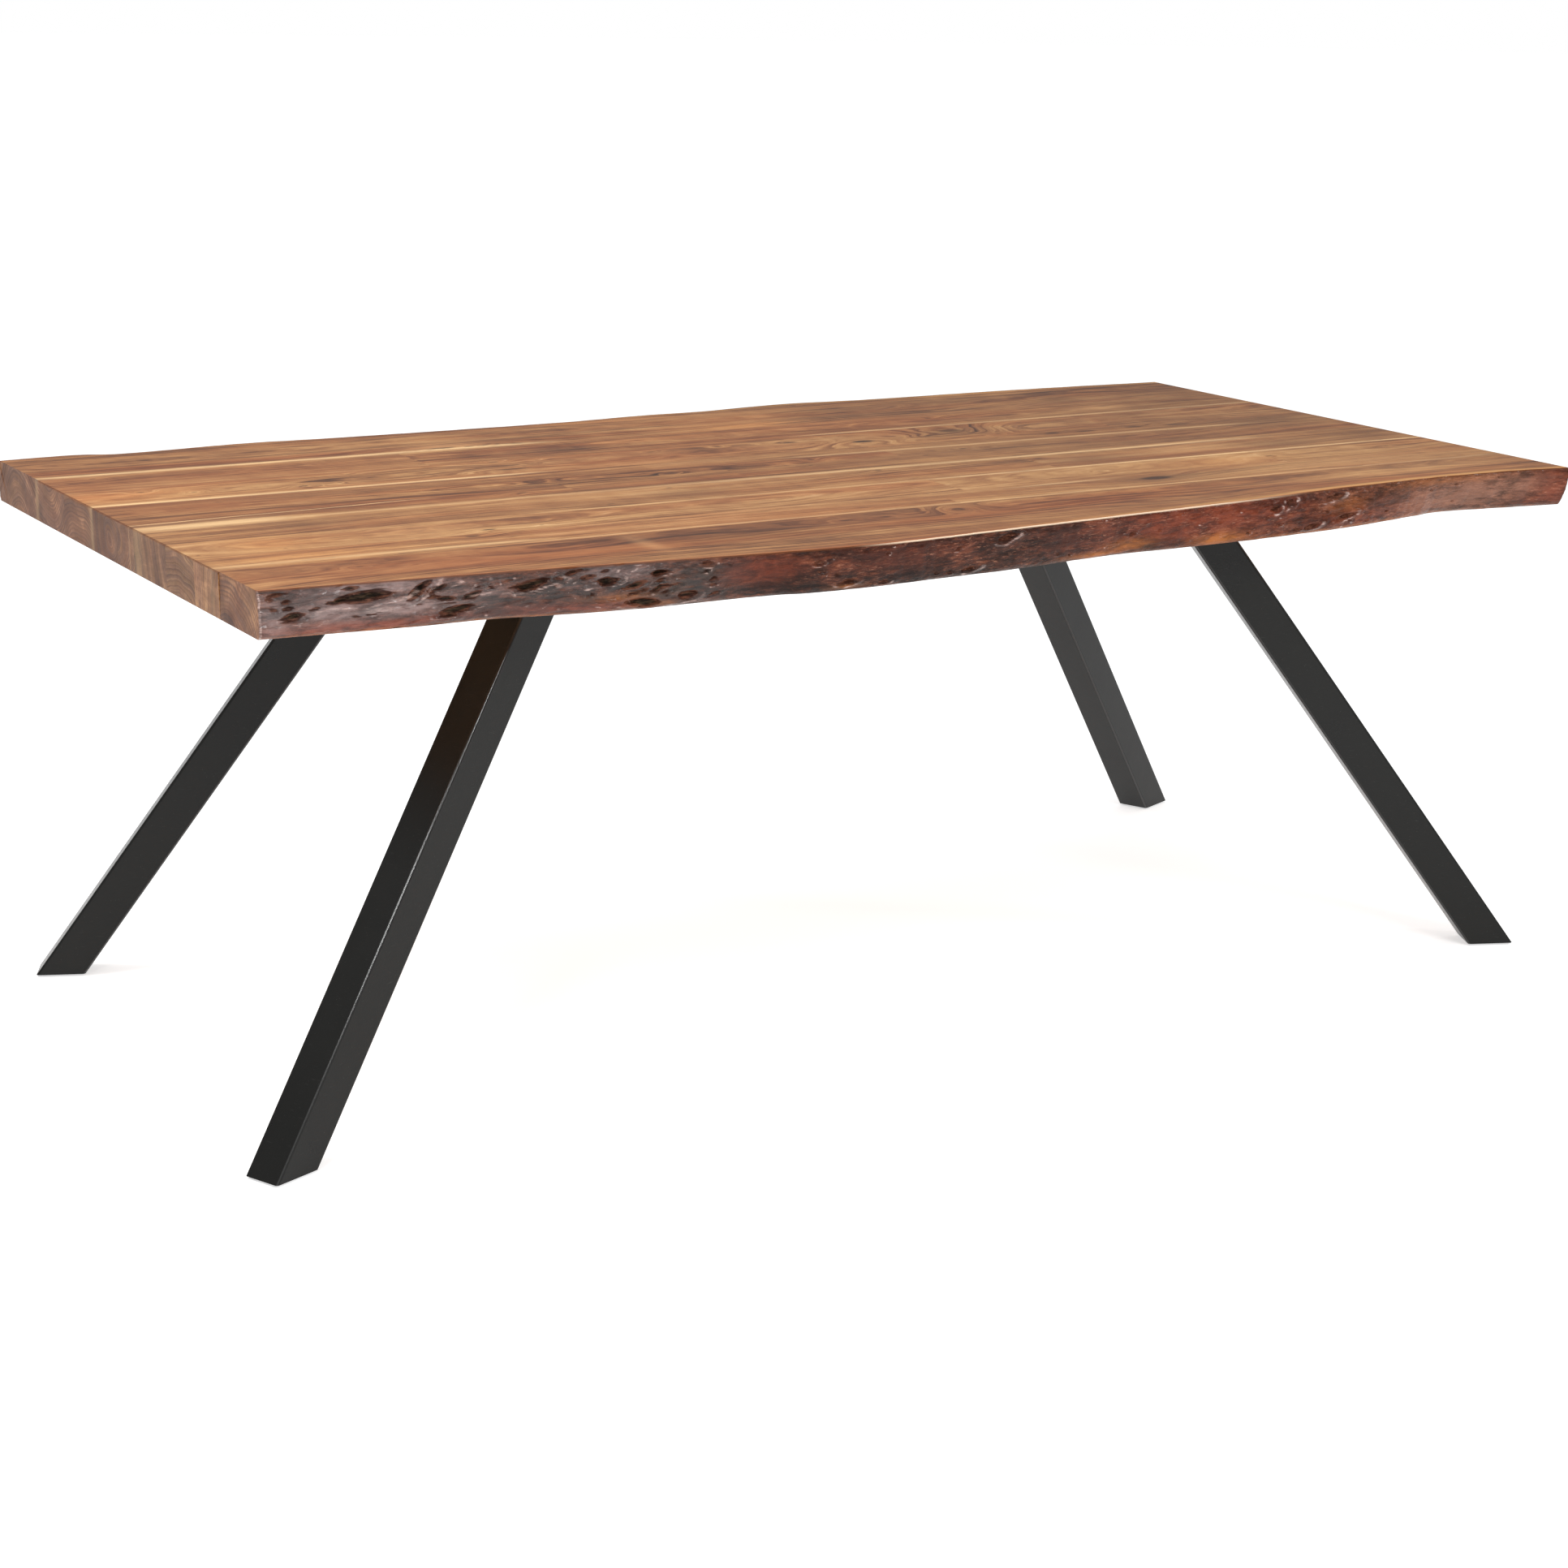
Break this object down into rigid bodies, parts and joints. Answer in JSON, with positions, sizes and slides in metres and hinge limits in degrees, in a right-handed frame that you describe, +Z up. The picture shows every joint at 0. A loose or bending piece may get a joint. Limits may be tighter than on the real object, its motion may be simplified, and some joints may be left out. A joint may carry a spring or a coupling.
{
  "type": "dining table",
  "caption": "Live-edge dining table: an edge-glued solid hardwood top on splayed black square-tube legs with screw-in levelling glides.",
  "frame": {"origin": "on the floor, under the middle of the object's box", "axes": "+X along the length, +Y to the rear, +Z up; the front live edge faces -Y"},
  "size_m": [2.0744, 1.1626, 0.76],
  "materials": {
    "wood": "satin lacquer over straight-grained, brown-streaked hardwood",
    "live_edge_wood": "satin lacquer on the upper face, gloss lacquer over the dark red-brown natural edge",
    "black_coat": "satin black powder coat",
    "zinc_steel": "bright zinc plate",
    "brass": "yellow zinc plate",
    "black_nylon": "moulded black nylon"
  },
  "bodies": {
    "table": {"edge_board_front": "live_edge_wood", "edge_board_rear": "live_edge_wood", "stave_1_left": "wood", "stave_1_right": "wood", "stave_2_left": "wood", "stave_2_middle": "wood", "stave_2_right": "wood", "stave_3_left": "wood", "stave_3_right": "wood", "stave_4_left": "wood", "stave_4_middle": "wood", "stave_4_right": "wood", "stave_5_left": "wood", "stave_5_right": "wood", "stave_6_left": "wood", "stave_6_right": "wood", "stave_7_left": "wood", "stave_7_right": "wood", "leg_front_left": "black_coat", "leg_front_right": "black_coat", "leg_rear_left": "black_coat", "leg_rear_right": "black_coat", "top_plate_front_left": "black_coat", "top_plate_front_right": "black_coat", "top_plate_rear_left": "black_coat", "top_plate_rear_right": "black_coat", "foot_plate_front_left": "black_coat", "foot_plate_front_right": "black_coat", "foot_plate_rear_left": "black_coat", "foot_plate_rear_right": "black_coat", "bolts_front_left": "zinc_steel", "bolts_front_right": "zinc_steel", "bolts_rear_left": "zinc_steel", "bolts_rear_right": "zinc_steel", "washers_front_left": "zinc_steel", "washers_front_right": "zinc_steel", "washers_rear_left": "zinc_steel", "washers_rear_right": "zinc_steel", "inserts_front_left": "brass", "inserts_front_right": "brass", "inserts_rear_left": "brass", "inserts_rear_right": "brass", "bush_front_left": "zinc_steel", "bush_front_right": "zinc_steel", "bush_rear_left": "zinc_steel", "bush_rear_right": "zinc_steel"},
    "stem_front_left": {"glide_stem_front_left": "zinc_steel"},
    "pad_front_left": {"glide_pad_front_left": "black_nylon"},
    "stem_front_right": {"glide_stem_front_right": "zinc_steel"},
    "pad_front_right": {"glide_pad_front_right": "black_nylon"},
    "stem_rear_left": {"glide_stem_rear_left": "zinc_steel"},
    "pad_rear_left": {"glide_pad_rear_left": "black_nylon"},
    "stem_rear_right": {"glide_stem_rear_right": "zinc_steel"},
    "pad_rear_right": {"glide_pad_rear_right": "black_nylon"}
  },
  "joints": [
    {"name": "glide_travel_front_left", "type": "slide", "parent": "table", "child": "stem_front_left", "axis": [0, 0, -1], "range_m": [0, 0.0101]},
    {"name": "glide_turn_front_left", "type": "hinge", "parent": "stem_front_left", "child": "pad_front_left", "pos_m": [-0.994, -0.433, 0], "axis": [0, 0, 1], "range_deg": [0, 2880]},
    {"name": "glide_travel_front_right", "type": "slide", "parent": "table", "child": "stem_front_right", "axis": [0, 0, -1], "range_m": [0, 0.0101]},
    {"name": "glide_turn_front_right", "type": "hinge", "parent": "stem_front_right", "child": "pad_front_right", "pos_m": [0.994, -0.433, 0], "axis": [0, 0, 1], "range_deg": [0, 2880]},
    {"name": "glide_travel_rear_left", "type": "slide", "parent": "table", "child": "stem_rear_left", "axis": [0, 0, -1], "range_m": [0, 0.0101]},
    {"name": "glide_turn_rear_left", "type": "hinge", "parent": "stem_rear_left", "child": "pad_rear_left", "pos_m": [-0.994, 0.495, 0], "axis": [0, 0, 1], "range_deg": [0, 2880]},
    {"name": "glide_travel_rear_right", "type": "slide", "parent": "table", "child": "stem_rear_right", "axis": [0, 0, -1], "range_m": [0, 0.0101]},
    {"name": "glide_turn_rear_right", "type": "hinge", "parent": "stem_rear_right", "child": "pad_rear_right", "pos_m": [0.994, 0.495, 0], "axis": [0, 0, 1], "range_deg": [0, 2880]}
  ],
  "couplings": [
    {"joint": "glide_travel_front_left", "follows": "glide_turn_front_left", "m_per_rad": 0.00019894},
    {"joint": "glide_travel_front_right", "follows": "glide_turn_front_right", "m_per_rad": 0.00019894},
    {"joint": "glide_travel_rear_left", "follows": "glide_turn_rear_left", "m_per_rad": 0.00019894},
    {"joint": "glide_travel_rear_right", "follows": "glide_turn_rear_right", "m_per_rad": 0.00019894}
  ]
}
